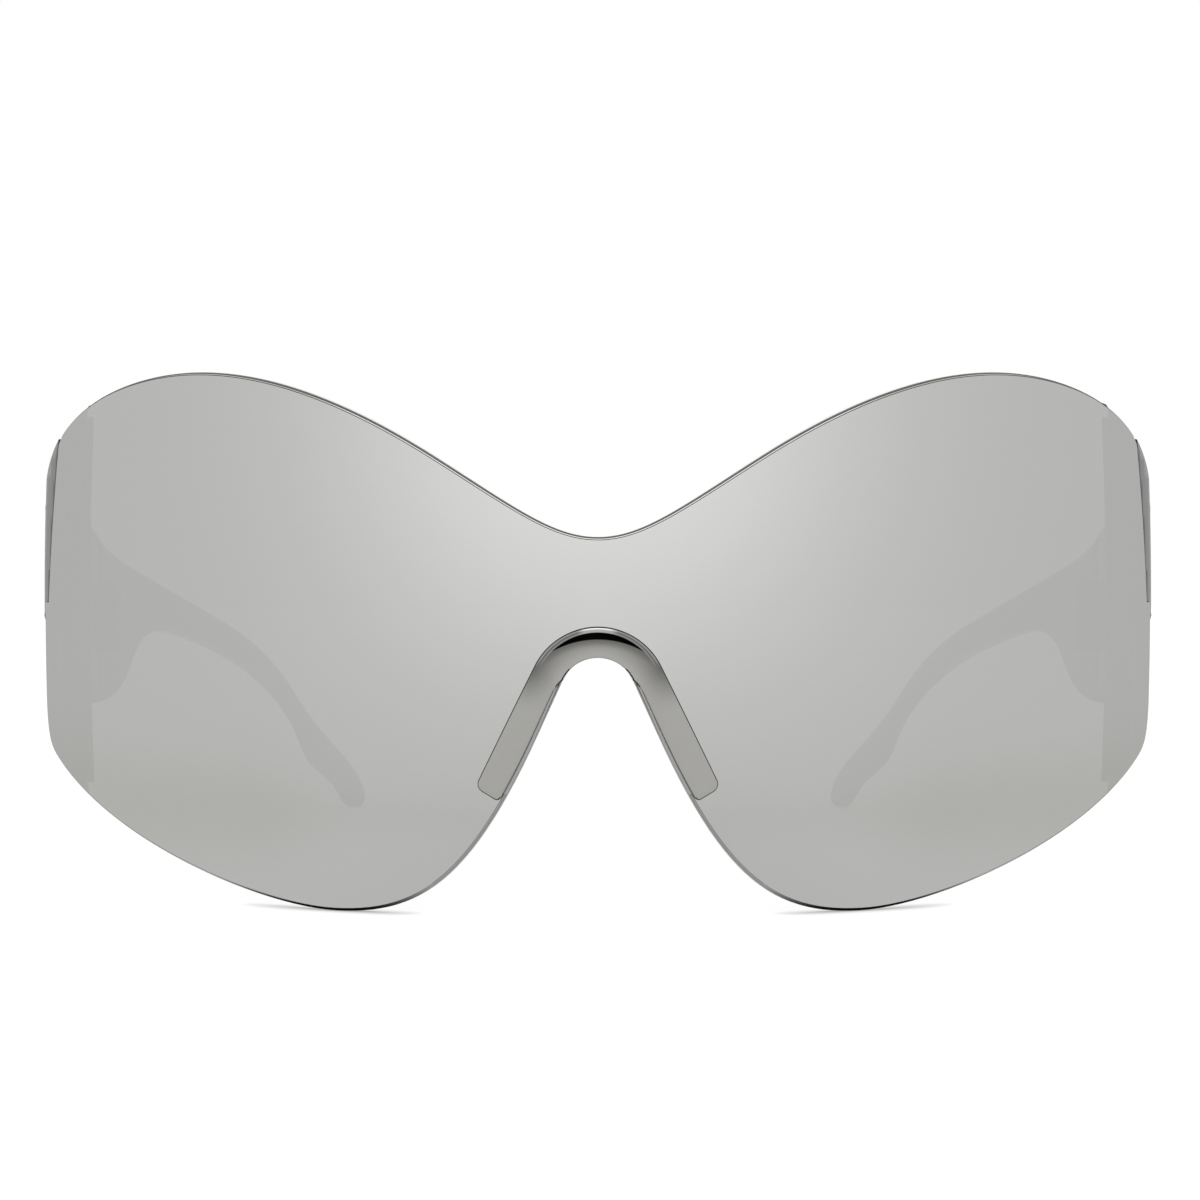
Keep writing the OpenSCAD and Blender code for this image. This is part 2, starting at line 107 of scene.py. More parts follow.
# saddle tones: leg and arch are the plastic's own, the rest are painted shade, highlight, glint and shadow
smoke = {
    "leg": (0.275, 0.272, 0.256), "arch": (0.29, 0.286, 0.27), "paintedShadeTone": (0.08, 0.08, 0.074),
    "startFade": 0.3, "endFade": 3.4, "legTop": 0.5, "legFoot": -5.5,
    "rimSide": (0.16, 0.155, 0.15), "rimMiddle": (0.3, 0.3, 0.29), "paintedGlintSide": (0.2, 0.2, 0.19),
    "paintedGlintMiddle": (0.72, 0.72, 0.7), "lineSide": (0.07, 0.068, 0.064),
    "rimStart": 1.6, "rimEnd": -0.2, "rimWide": 2.6, "rimNarrow": 1.2, "linePlace": 0.26,
    "paintedGlintPlace": 0.42, "soft": 0.05, "recessFoot": 29.5, "recessShade": 1.1,
    "recessPaintedShadow": (0.01, 0.009, 0.009), "rough": 0.32, "specular": 0.35,
}
# lens edge tones: down is a painted contact shadow, up is painted shade
ground = {
    "low": 0.4, "high": 4.0, "down": (0.005, 0.005, 0.005), "side": (0.25, 0.25, 0.24),
    "up": (0.085, 0.083, 0.074), "turnStart": 0.2, "turnEnd": 0.9, "rough": 0.5, "specular": 0.1,
}
# colour, roughness, specular level
plastics = {
    # facet and flank lines: painted dark lines beside the lens chamfer
    "facetShadeLine": ((0.05, 0.047, 0.04), 0.5, 0.1), "flankShadeLine": ((0.14, 0.14, 0.13), 0.5, 0.1),
    # saddle edge and saddle shade: painted shade round the saddle's lip
    "saddleEdgePaintedShade": ((0.02, 0.02, 0.018), 0.4, 0.25), "saddleShade": ((0.006, 0.006, 0.006), 0.5, 0.1),
    "blackMoulding": ((0.035, 0.029, 0.029), 0.25, 0.36),
}
# colour, roughness
steels = {"hingeSteel": ((0.08, 0.08, 0.084), 0.35), "screwSteel": ((0.16, 0.16, 0.165), 0.28)}
# reflection from outside, from inside and light let through
films = {
    "mirrorCoat": (0.334, 0.07, 0.05), "tintedBack": (0.045, 0.045, 0.88),
    "polishedFacet": (0.38, 0.07, 0.03),
}
# scale, strength and depth in metres of the bumps
grains = {"plastic": (900, 0.05, 0.00003), "saddle": (700, 0.05, 0.00003), "steel": (3000, 0.08, 0.00002)}
# points along each curve, spacing of the cuts before a bend, least angle of a sharp edge in radians
fine = {
    "lens": 26, "rim": 40, "pocket": 24, "temple": 14, "notch": 14, "tongue": 16, "flange": 12,
    "arch": 22, "underArch": 16, "foot": 10, "plugTop": 44, "plugFoot": 32, "wing": 12, "rod": 48,
    "saddleCell": 1.0, "saddleRow": 1.5, "flangeCell": 0.8, "wallCell": 1.0, "sideRow": 2.5, "sharp": 0.8,
}
cameraPlace = {"distance": 300.0, "height": 39.4, "focal": 76.17, "shiftX": 0.0018, "shiftY": -0.01167}

mm = 0.001
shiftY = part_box("shield_lens")[0].y / mm
halfWidth = lens["width"] / 2
wrapRadius = halfWidth / math.sin(math.radians(lens["edgeAngle"]))
crownHeight = lens["height"] * lens["crownShare"]
edgeDepth = wrapRadius - wrapRadius * math.cos(math.radians(lens["edgeAngle"]))
edgeU = wrapRadius * math.radians(lens["edgeAngle"])


# Curves
def cubic(a, b, c, d, steps):
    out = []
    for i in range(steps):
        t = i / steps
        s = 1 - t
        w = (s ** 3, 3 * s * s * t, 3 * s * t * t, t ** 3)
        out.append(tuple(w[0] * a[k] + w[1] * b[k] + w[2] * c[k] + w[3] * d[k] for k in (0, 1)))
    return out


def chain(points, steps):
    out = []
    for k in range(0, len(points) - 3, 3):
        out += cubic(*points[k:k + 4], steps)
    return out + [tuple(points[-1])]


def placed(shares, width, height, corner=(0, 0)):
    return [(corner[0] + a * width, corner[1] + b * height) for a, b in shares]


def arc(centre, radius, start, stop, steps):
    out = []
    for i in range(steps + 1):
        a = math.radians(start + (stop - start) * i / steps)
        out.append((centre[0] + radius * math.cos(a), centre[1] + radius * math.sin(a)))
    return out


def mirrored(points):
    return [(-x, z) for x, z in reversed(points)]


# The wrap of the lens: u runs along the face, depth goes in from it
def wrapAt(z, depth=0.0):
    crown = lens["crownRadius"] - depth
    return wrapRadius - lens["crownRadius"] + math.sqrt(crown ** 2 - (z - crownHeight) ** 2)


def depthAt(u, z):
    return wrapRadius - wrapAt(z) * math.cos(u / wrapRadius)


def alongFace(x, z):
    limit = math.sin(math.radians(lens["edgeAngle"]))
    share = x / wrapAt(z)
    return wrapRadius * math.asin(max(-limit, min(limit, share)))


def wrapped(co):
    r = wrapAt(co.z, co.y)
    phi = co.x / wrapRadius
    return Vector((r * math.sin(phi), wrapRadius - r * math.cos(phi) + shiftY, co.z))


# Nose gap: arch tangent to two flanks
lean = math.radians(nose["lean"])
flankOut = (math.cos(lean), math.sin(lean))
flankUp = (-math.sin(lean), math.cos(lean))
archHeight = nose["topHeight"] - nose["archRadius"]
flankTop = (nose["archRadius"] * flankOut[0], archHeight + nose["archRadius"] * flankOut[1])


def flankAt(z):
    return (flankTop[0] + (flankTop[1] - z) * math.tan(lean), z)


flankFoot = flankAt(nose["footHeight"])
legLength = (flankTop[1] - nose["footHeight"]) / math.cos(lean)
recessHeight = nose["topHeight"] + nose["recessRise"] - nose["recessArc"]


def notchDepth(z):
    return edgeDepth - notch["reach"] + (notch["topHeight"] - z) * math.tan(math.radians(notch["lean"]))


def notchU(z, gap=0):
    return wrapRadius * math.acos((wrapRadius - notchDepth(z) - gap) / wrapAt(z))


# Lens outline from the dip round to the flank of the nose gap
def lobeLine():
    h = lens["height"]
    flank = [flankAt(h * lens[key]) for key in ("flankPullShare", "flankStartShare")]
    return placed(lens["cheekShares"][6:], halfWidth, h) + flank


def lensLine(steps):
    h, dip = lens["height"], lens["dipHeight"]
    brow = [(0, dip), (halfWidth * lens["dipPullShare"], dip)] + placed(lens["browShares"], halfWidth, h)
    return chain(brow, steps) + chain(placed(lens["cheekShares"][:6], halfWidth, h) + lobeLine(), steps)


# Half of the outline as (u, z), on to the middle of the nose pocket
def lensHalf():
    outer = lensLine(fine["lens"]) + [flankTop]
    pocket = nose["archRadius"] + nose["crownWall"]
    start = math.degrees(math.asin((flankTop[1] - archHeight) / pocket))
    outer += arc((0, archHeight), pocket, start, 90, fine["pocket"])
    return [(alongFace(x, z), z) for x, z in outer]


def splitAtNotch(outer):
    kept, inside = [], False
    low = notch["footHeight"]
    for u, z in outer:
        within = z > low and u > 0 and depthAt(u, z) > notchDepth(z)
        if within and not inside:
            steps = fine["notch"]
            rows = [z + (low - z) * i / steps for i in range(steps + 1)]
            kept += [(notchU(row), row) for row in rows]
            kept.append((edgeU, low))
            inside = True
        if not within:
            kept.append((u, z))
    return kept


def atNotch(edge):
    spots = [(abs(v.co.x), v.co.z) for v in edge.verts]
    low = notch["footHeight"]
    onFront = all(z > low - 0.01 and abs(u - notchU(z)) < 0.05 for u, z in spots)
    return onFront or all(abs(z - low) < 0.01 and u > notchU(low) - 0.05 for u, z in spots)


# Solids drawn flat, then bent
def prism(points, shift):
    bm = bmesh.new()
    face = bm.faces.new([bm.verts.new(p) for p in points])
    grown = bmesh.ops.extrude_face_region(bm, geom=[face])
    verts = [g for g in grown["geom"] if isinstance(g, bmesh.types.BMVert)]
    bmesh.ops.translate(bm, vec=shift, verts=verts)
    bmesh.ops.recalc_face_normals(bm, faces=bm.faces)
    return bm


def slab(outline, front, back):
    return prism([(u, front, z) for u, z in outline], (0, back - front, 0))


def isSharp(edge):
    return edge.calc_face_angle(0) > fine["sharp"]


def rimAt(bm, depth, skip=None):
    rim = [e for e in bm.edges if all(abs(v.co.y - depth) < 1e-5 for v in e.verts) and isSharp(e)]
    return [e for e in rim if not (skip and skip(e))]


def bevelled(bm, edges, width, segments, material=None):
    made = bmesh.ops.bevel(bm, geom=edges, offset=width, segments=segments, profile=0.5,
                           affect="EDGES", material=-1)
    for f in made["faces"]:
        if material is not None:
            f.material_index = material
    return made["faces"]


def borders(faces, isOuter):
    inside = set(faces)
    found = []
    for e in {e for f in faces for e in f.edges}:
        others = [f for f in e.link_faces if f not in inside]
        if len(others) == 1 and (abs(others[0].normal.y) < 0.5) == isOuter:
            found.append(e)
    return found


def cutAt(bm, place, normal):
    bmesh.ops.bisect_plane(bm, geom=bm.verts[:] + bm.edges[:] + bm.faces[:], dist=1e-6,
                           plane_co=place, plane_no=normal)


def cutRows(bm, axis, low, high, step):
    count = max(1, math.ceil((high - low) / step))
    normal = Vector((0, 0, 0))
    normal[axis] = 1
    for i in range(1, count):
        cutAt(bm, normal * (low + (high - low) * i / count), normal)


def bend(bm, place):
    for v in bm.verts:
        v.co = place(v.co)


def swapSides(bm):
    bmesh.ops.scale(bm, vec=(-1, 1, 1), verts=bm.verts)
    bmesh.ops.reverse_faces(bm, faces=bm.faces)


def joined(parts):
    bm = bmesh.new()
    for part in parts:
        shape = bpy.data.meshes.new("part")
        part.to_mesh(shape)
        part.free()
        bm.from_mesh(shape)
        bpy.data.meshes.remove(shape)
    return bm


def finished(name, bm, materials, sharp=30):
    bmesh.ops.recalc_face_normals(bm, faces=bm.faces)
    for e in bm.edges:
        e.smooth = e.calc_face_angle(0) < math.radians(sharp)
    for f in bm.faces:
        f.smooth = True
    shape = bpy.data.meshes.new(name)
    bm.to_mesh(shape)
    bm.free()
    shape.transform(Matrix.Scale(mm, 4))
    for m in materials:
        shape.materials.append(m)
    piece = bpy.data.objects.new(name, shape)
    bpy.context.scene.collection.objects.link(piece)
    return piece


def combined(bm, other, operation):
    pieces = []
    for part in (bm, other):
        shape = bpy.data.meshes.new("part")
        part.to_mesh(shape)
        part.free()
        piece = bpy.data.objects.new("part", shape)
        bpy.context.scene.collection.objects.link(piece)
        pieces.append(piece)
    target, tool = pieces
    cut = target.modifiers.new("combine", "BOOLEAN")
    cut.operation = operation
    cut.solver = "EXACT"
    cut.object = tool
    made = target.evaluated_get(bpy.context.evaluated_depsgraph_get()).to_mesh()
    out = bmesh.new()
    out.from_mesh(made)
    for piece in pieces:
        shape = piece.data
        bpy.data.objects.remove(piece)
        bpy.data.meshes.remove(shape)
    return out


# Materials
def newMaterial(name, colour):
    m = bpy.data.materials.new(name)
    m.use_nodes = True
    m.node_tree.nodes.clear()
    m.diffuse_color = (*colour, 1)
    return m, m.node_tree.nodes, m.node_tree.links


def noiseBump(nodes, links, scale, strength, distance):
    place = nodes.new("ShaderNodeTexCoord")
    noise = nodes.new("ShaderNodeTexNoise")
    noise.inputs["Scale"].default_value = scale
    noise.inputs["Detail"].default_value = 3
    bump = nodes.new("ShaderNodeBump")
    bump.inputs["Strength"].default_value = strength
    bump.inputs["Distance"].default_value = distance
    links.new(place.outputs["Object"], noise.inputs["Vector"])
    links.new(noise.outputs["Fac"], bump.inputs["Height"])
    return place, noise, bump


def principled(nodes, links, bump, rough):
    body = nodes.new("ShaderNodeBsdfPrincipled")
    out = nodes.new("ShaderNodeOutputMaterial")
    body.inputs["Roughness"].default_value = rough
    links.new(bump.outputs["Normal"], body.inputs["Normal"])
    links.new(body.outputs["BSDF"], out.inputs["Surface"])
    return body


# Moulded plastic, its colour mottled by a tenth either way
def plastic(name, colour, rough, specular):
    m, nodes, links = newMaterial(name, colour)
    place, noise, bump = noiseBump(nodes, links, *grains["plastic"])
    body = principled(nodes, links, bump, rough)
    dark, bright = (tuple(c * share for c in colour) for share in (0.9, 1.1))
    links.new(blend(nodes, links, dark, bright, noise.outputs["Fac"]), body.inputs["Base Color"])
    body.inputs["Specular IOR Level"].default_value = specular
    return m


# Brushed steel, its scratches stretched along the temples
def steel(name, colour, rough):
    m, nodes, links = newMaterial(name, colour)
    place, noise, bump = noiseBump(nodes, links, *grains["steel"])
    stretch = nodes.new("ShaderNodeMapping")
    stretch.inputs["Scale"].default_value = (1, 0.15, 1)
    links.new(place.outputs["Object"], stretch.inputs["Vector"])
    links.new(stretch.outputs["Vector"], noise.inputs["Vector"])
    body = principled(nodes, links, bump, rough)
    body.inputs["Base Color"].default_value = (*colour, 1)
    body.inputs["Metallic"].default_value = 1
    return m


# A face that adds what it reflects to what it lets through, seen from outside and from inside
def filmed(name, paintedShading=None):
    outside, inside, through = films[name]
    m, nodes, links = newMaterial(name, (outside,) * 3)
    side = nodes.new("ShaderNodeNewGeometry")
    pick = nodes.new("ShaderNodeMixShader")
    out = nodes.new("ShaderNodeOutputMaterial")
    place = nodes.new("ShaderNodeTexCoord")
    haze = nodes.new("ShaderNodeTexNoise")
    haze.inputs["Scale"].default_value = look["hazeScale"]
    haze.inputs["Detail"].default_value = 2
    links.new(place.outputs["Object"], haze.inputs["Vector"])
    for i, mirror in enumerate((outside, inside)):
        dull, bright = (tuple(mirror * share for share in look[key]) for key in ("hazeDull", "hazeBright"))
        colour = blend(nodes, links, dull, bright, haze.outputs["Fac"])
        gloss = nodes.new("ShaderNodeBsdfGlossy")
        gloss.inputs["Roughness"].default_value = look["filmRough"]
        clear = nodes.new("ShaderNodeBsdfTransparent")
        clear.inputs["Color"].default_value = (through, through, through, 1)
        both = nodes.new("ShaderNodeAddShader")
        # an optional painted light level scales the reflection seen from outside
        if paintedShading and i == 0:
            scaled = nodes.new("ShaderNodeVectorMath")
            scaled.operation = "SCALE"
            links.new(colour, scaled.inputs[0])
            links.new(paintedShading(nodes, links, place), scaled.inputs["Scale"])
            colour = scaled.outputs["Vector"]
        links.new(colour, gloss.inputs["Color"])
        links.new(gloss.outputs["BSDF"], both.inputs[0])
        links.new(clear.outputs["BSDF"], both.inputs[1])
        links.new(both.outputs["Shader"], pick.inputs[1 + i])
    links.new(side.outputs["Backfacing"], pick.inputs["Fac"])
    links.new(pick.outputs["Shader"], out.inputs["Surface"])
    return m


# Arithmetic on sockets or plain numbers
def calc(nodes, links, operation, *values):
    node = nodes.new("ShaderNodeMath")
    node.operation = operation
    for i, value in enumerate(values):
        if isinstance(value, (int, float)):
            node.inputs[i].default_value = value
        else:
            links.new(value, node.inputs[i])
    return node.outputs["Value"]


def ramp(nodes, links, value, start, stop, soft=False):
    node = nodes.new("ShaderNodeMapRange")
    node.interpolation_type = "SMOOTHSTEP" if soft else "LINEAR"
    node.inputs["From Min"].default_value = start
    node.inputs["From Max"].default_value = stop
    links.new(value, node.inputs["Value"])
    return node.outputs["Result"]


def blend(nodes, links, first, second, factor):
    node = nodes.new("ShaderNodeMix")
    node.data_type = "RGBA"
    for name, value in (("A", first), ("B", second)):
        if isinstance(value, tuple):
            node.inputs[name].default_value = (*value, 1)
        else:
            links.new(value, node.inputs[name])
    links.new(factor, node.inputs["Factor"])
    return node.outputs["Result"]


def bell(nodes, links, off, spread):
    share = calc(nodes, links, "DIVIDE", off, spread)
    share = calc(nodes, links, "MULTIPLY", share, share)
    return calc(nodes, links, "EXPONENT", calc(nodes, links, "MULTIPLY", share, -0.5))


# Smoked plastic with painted light: painted shade darkens the arch outwards, over the recess lies a painted
# bright band with a painted glint, and the recess holds painted shadow
def smoked(name):
    m, nodes, links = newMaterial(name, smoke["leg"])
    place, noise, bump = noiseBump(nodes, links, *grains["saddle"])
    split = nodes.new("ShaderNodeSeparateXYZ")
    links.new(place.outputs["Object"], split.inputs["Vector"])
    x = calc(nodes, links, "ABSOLUTE", split.outputs["X"])
    h = calc(nodes, links, "SUBTRACT", split.outputs["Z"], archHeight * mm)
    # out from the flank and up along it, measured from the middle of the arch
    out = calc(nodes, links, "MULTIPLY_ADD", x, flankOut[0], calc(nodes, links, "MULTIPLY", h, flankOut[1]))
    up = calc(nodes, links, "MULTIPLY_ADD", x, flankUp[0], calc(nodes, links, "MULTIPLY", h, flankUp[1]))
    above = calc(nodes, links, "MAXIMUM", up, 0)
    far = calc(nodes, links, "MULTIPLY_ADD", out, out, calc(nodes, links, "MULTIPLY", above, above))
    far = calc(nodes, links, "SQRT", far)
    inner = nose["archRadius"] * mm
    upper = (nose["archRadius"] + nose["crownWall"] - nose["recessWall"]) * mm
    # painted shade: darker going out from the arch
    outward = ramp(nodes, links, far, inner + smoke["startFade"] * mm, inner + smoke["endFade"] * mm)
    tone = blend(nodes, links, smoke["arch"], smoke["paintedShadeTone"], outward)
    downLeg = ramp(nodes, links, up, smoke["legTop"] * mm, smoke["legFoot"] * mm, True)
    tone = blend(nodes, links, tone, smoke["leg"], downLeg)
    # the rim over the recess: a painted bright band, brightest in the middle, with a painted dark line and a
    # painted glint
    overArch = ramp(nodes, links, up, smoke["rimEnd"] * mm, smoke["rimStart"] * mm, True)
    middle = ramp(nodes, links, x, smoke["rimWide"] * mm, smoke["rimNarrow"] * mm, True)
    rim = blend(nodes, links, smoke["rimSide"], smoke["rimMiddle"], middle)
    paintedGlint = blend(nodes, links, smoke["paintedGlintSide"], smoke["paintedGlintMiddle"], middle)
    line = blend(nodes, links, smoke["lineSide"], smoke["rimMiddle"], middle)
    soft = smoke["soft"] * mm
    edges = [upper + smoke[key] * mm for key in ("linePlace", "paintedGlintPlace")]
    rim = blend(nodes, links, rim, line, ramp(nodes, links, far, edges[0] - soft, edges[0]))
    rim = blend(nodes, links, rim, paintedGlint, ramp(nodes, links, far, edges[1] - soft, edges[1]))
    rimPart = calc(nodes, links, "MULTIPLY", overArch, ramp(nodes, links, far, upper, upper + soft))
    tone = blend(nodes, links, tone, rim, rimPart)
    # the recess: painted shade towards its lower edge and a near-black painted shadow inside it
    low = calc(nodes, links, "SUBTRACT", split.outputs["Z"], recessHeight * mm)
    fromLow = calc(nodes, links, "MULTIPLY_ADD", x, x, calc(nodes, links, "MULTIPLY", low, low))
    fromLow = calc(nodes, links, "SQRT", fromLow)
    lowEdge, foot = nose["recessArc"] * mm, smoke["recessFoot"] * mm
    inArch = calc(nodes, links, "MULTIPLY", ramp(nodes, links, far, upper + soft, upper),
                  ramp(nodes, links, split.outputs["Z"], foot - soft * 10, foot))
    paintedShading = ramp(nodes, links, fromLow, lowEdge - smoke["recessShade"] * mm, lowEdge + soft, True)
    tone = blend(nodes, links, tone, smoke["paintedShadeTone"], calc(nodes, links, "MULTIPLY", paintedShading, inArch))
    recessPaintedShadow = calc(nodes, links, "MULTIPLY", ramp(nodes, links, fromLow, lowEdge - soft, lowEdge), inArch)
    tone = blend(nodes, links, tone, smoke["recessPaintedShadow"], recessPaintedShadow)
    body = principled(nodes, links, bump, smoke["rough"])
    links.new(tone, body.inputs["Base Color"])
    shine = calc(nodes, links, "MULTIPLY_ADD", recessPaintedShadow, -smoke["specular"], smoke["specular"])
    links.new(shine, body.inputs["Specular IOR Level"])
    return m


# Ground edge of the lens with painted shade: a painted contact shadow close to the table, pale at the sides,
# painted shade along the brow where it faces up
def paintedShadeEdge(name):
    m, nodes, links = newMaterial(name, ground["side"])
    place, noise, bump = noiseBump(nodes, links, *grains["plastic"])
    turn, spot = (nodes.new("ShaderNodeSeparateXYZ") for _ in range(2))
    links.new(place.outputs["Normal"], turn.inputs["Vector"])
    links.new(place.outputs["Object"], spot.inputs["Vector"])
    # painted contact shadow: dark and dull close to the table
    lift = ramp(nodes, links, spot.outputs["Z"], ground["low"] * mm, ground["high"] * mm, True)
    tone = blend(nodes, links, ground["down"], ground["side"], lift)
    # painted shade on the faces turned up
    paintedUpShade = ramp(nodes, links, turn.outputs["Z"], ground["turnStart"], ground["turnEnd"], True)
    tone = blend(nodes, links, tone, ground["up"], paintedUpShade)
    body = principled(nodes, links, bump, ground["rough"])
    links.new(tone, body.inputs["Base Color"])
    links.new(calc(nodes, links, "MULTIPLY", lift, ground["specular"]), body.inputs["Specular IOR Level"])
    return m


# Chamfer of the lens, painted light: a painted highlight along the brow, painted shade along the nose and
# round the upper corners
def facetPaintedLight(nodes, links, place):
    spot = nodes.new("ShaderNodeSeparateXYZ")
    links.new(place.outputs["Object"], spot.inputs["Vector"])
    x, z = calc(nodes, links, "ABSOLUTE", spot.outputs["X"]), spot.outputs["Z"]

    def between(value, start, stop):
        return ramp(nodes, links, value, look[start] * mm, look[stop] * mm, True)

    def both(first, second):
        return calc(nodes, links, "MULTIPLY", first, second)

    brow = both(between(z, "browFoot", "browTop"), between(x, "browEnd", "browStart"))
    below = ramp(nodes, links, z, look["browFoot"] * mm, (look["browFoot"] - 1) * mm)
    flank = both(between(x, "flankEnd", "flankStart"), below)
    corner = both(between(z, "browTop", "cornerFoot"), between(x, "cornerStart", "cornerEnd"))
    level = calc(nodes, links, "MULTIPLY_ADD", brow, look["browFacetHighlight"] - 1, 1)
    level = calc(nodes, links, "MULTIPLY_ADD", flank, look["flankFacetShade"] - 1, level)
    return calc(nodes, links, "MULTIPLY_ADD", corner, look["cornerFacetShade"] - 1, level)


coat, tinted, facet = filmed("mirrorCoat"), filmed("tintedBack"), filmed("polishedFacet", facetPaintedLight)
lensEdge, saddleSmoke = paintedShadeEdge("lensEdge"), smoked("smokeSaddle")
facetShadeLine, flankShadeLine, saddleEdgePaintedShade, saddleShade, black = (
    plastic(name, *values) for name, values in plastics.items())
hingeSteel, screwSteel = (steel(name, *values) for name, values in steels.items())
print("materials done")

# Lens
zoneU = edgeU - wrapRadius * math.asin(flange["width"] / wrapRadius)
half = splitAtNotch(lensHalf())
bm = slab(half + mirrored(half)[1:-1], 0, lens["thickness"])
for side in (1, -1):
    cutAt(bm, (side * zoneU, lens["thickness"], 0), (side, -lens["zoneLean"], 0))


# Slots: 0 coat, 1 tinted back, 2 ground edge with painted shade, 3 chamfer with painted light, 4 and 5 the
# painted dark line beside it
def wallSlot(f):
    # the side wall is clear but for the part beside the end piece
    spot = f.calc_center_median()
    return 2 if abs(spot.x) > zoneU - lens["zoneLean"] * (lens["thickness"] - spot.y) else 1


for f in bm.faces:
    f.material_index = 0 if f.normal.y < -0.99 else 1 if f.normal.y > 0.99 else wallSlot(f)
facets = bevelled(bm, rimAt(bm, 0, atNotch), lens["chamfer"], 1, 3)
bm.normal_update()
bevelled(bm, borders(facets, True), lens["roundOff"], 3, 2)
bm.normal_update()
facets = [f for f in bm.faces if f.material_index == 3]
# the thin strip beside the chamfer is a painted dark line, paler down the nose flanks, chamfer beside the
# saddle's lip
for f in bevelled(bm, borders(facets, False), lens["line"], 1, 4):
    spot = f.calc_center_median()
    besideLip = nose["footHeight"] < spot.z < nose["topHeight"]
    if besideLip and abs(spot.x) < flankFoot[0] + lens["chamfer"]:
        f.material_index = 3
    elif spot.z < nose["topHeight"]:
        f.material_index = 5
for f in bevelled(bm, rimAt(bm, lens["thickness"], atNotch), lens["roundOff"], 2):
    f.material_index = wallSlot(f)
# the chamfer and its line close to the table take the edge's painted contact shadow
for f in bm.faces:
    if f.material_index in (3, 5) and f.calc_center_median().z < lens["groundRise"]:
        f.material_index = 2
cutRows(bm, 0, -edgeU, edgeU, lens["cell"])
cutRows(bm, 2, 0, lens["height"], lens["rowHeight"])
bend(bm, wrapped)
shield = finished("shieldLens", bm, [coat, tinted, lensEdge, facet, facetShadeLine, flankShadeLine], sharp=20)
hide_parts("shield_lens")
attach(shield, "front")
print("lens done")


# Nose saddle: a lip on each face of the lens and a plug in the pocket over the arch
def meet(n, d, m, e):
    k = n[0] * m[1] - n[1] * m[0]
    return ((d * m[1] - e * n[1]) / k, (e * n[0] - d * m[0]) / k)


def lipOutline():
    flare = math.radians(nose["lean"] + nose["lipFlare"])
    rise = math.radians(nose["footRise"])
    out, down = (math.cos(flare), math.sin(flare)), (math.sin(rise), -math.cos(rise))
    r = nose["footRadius"]
    centre = meet(out, out[1] * archHeight + nose["archRadius"] + nose["lipWidth"] - r,
                  down, down[0] * flankFoot[0] + down[1] * flankFoot[1] - r)
    outer = arc((0, archHeight), nose["archRadius"] + nose["lipWidth"], 90, math.degrees(flare), fine["arch"])
    outer += arc(centre, r, math.degrees(flare), nose["footRise"] - 90, fine["foot"])

    def pastFoot(p):
        return (p[0] - flankFoot[0]) * down[0] + (p[1] - flankFoot[1]) * down[1]

    bare = [(x + nose["bareWidth"], z) for x, z in chain(lobeLine(), fine["rim"])]
    bare = [p for p in bare if pastFoot(p) < 0]
    # the bare edge runs out under the arch
    for share in (1, 0.8, 0.6, 0.4, 0.2):
        spot = flankAt(flankTop[1] - share * nose["bareFade"])
        bare.append((spot[0] + nose["bareWidth"] * share ** 0.7, spot[1]))
    # foot corner where the bare edge crosses the foot line
    first = bare[0]
    slope = (bare[1][0] - first[0], bare[1][1] - first[1])
    step = pastFoot(first) / -(slope[0] * down[0] + slope[1] * down[1])
    corner = Vector((first[0] + slope[0] * step, first[1] + slope[1] * step))
    towards = (Vector(outer[-1]) - corner).normalized() * nose["footCorner"]
    along = Vector(slope).normalized() * nose["footCorner"]
    bare = [p for p in bare if (Vector(p) - corner).length > nose["footCorner"]]
    turned = [tuple(corner + towards * (1 - t) ** 2 + along * t ** 2) for t in (0, 0.25, 0.5, 0.75, 1)]
    inner = arc((0, archHeight), nose["archRadius"], nose["lean"], 90, fine["underArch"])
    return outer[1:] + turned + bare + inner[:-1]


def crescent():
    upper = nose["archRadius"] + nose["crownWall"] - nose["recessWall"]
    low, radius = recessHeight, nose["recessArc"]
    z = (radius ** 2 - upper ** 2 - low ** 2 + archHeight ** 2) / (2 * (archHeight - low))
    a = math.degrees(math.asin((z - archHeight) / upper))
    b = math.degrees(math.asin((z - low) / radius))
    over = arc((0, archHeight), upper, a, 180 - a, fine["rim"])
    return over + arc((0, low), radius, 180 - b, b, fine["rim"])[1:-1]


def noseWing(side):
    low = nose["footRadius"] / 2
    end = nose["wingDepth"] * nose["wingEndShare"]
    straight = nose["wingDepth"] - end
    start = lens["thickness"] + nose["lipThickness"] / 2
    outline = [(start, low)] + arc((straight, low + end), end, -90, 0, fine["wing"])
    outline += arc((straight, legLength - end), end, 0, 90, fine["wing"]) + [(start, legLength)]
    wing = prism([(0, y, z) for y, z in outline], (nose["wingThickness"], 0, 0))
    rim = [e for e in wing.edges if isSharp(e) and max(v.co.y for v in e.verts) > start + 0.1]
    bevelled(wing, rim, nose["wingRound"], 4)
    turn = Matrix.Rotation(-lean, 4, "Y") @ Matrix.Rotation(-math.radians(nose["wingSplay"]), 4, "Z")
    foot = (flankFoot[0] + nose["bareWidth"], shiftY, flankFoot[1])
    bmesh.ops.transform(wing, matrix=Matrix.Translation(foot) @ turn, verts=wing.verts)
    if side < 0:
        swapSides(wing)
    return wing


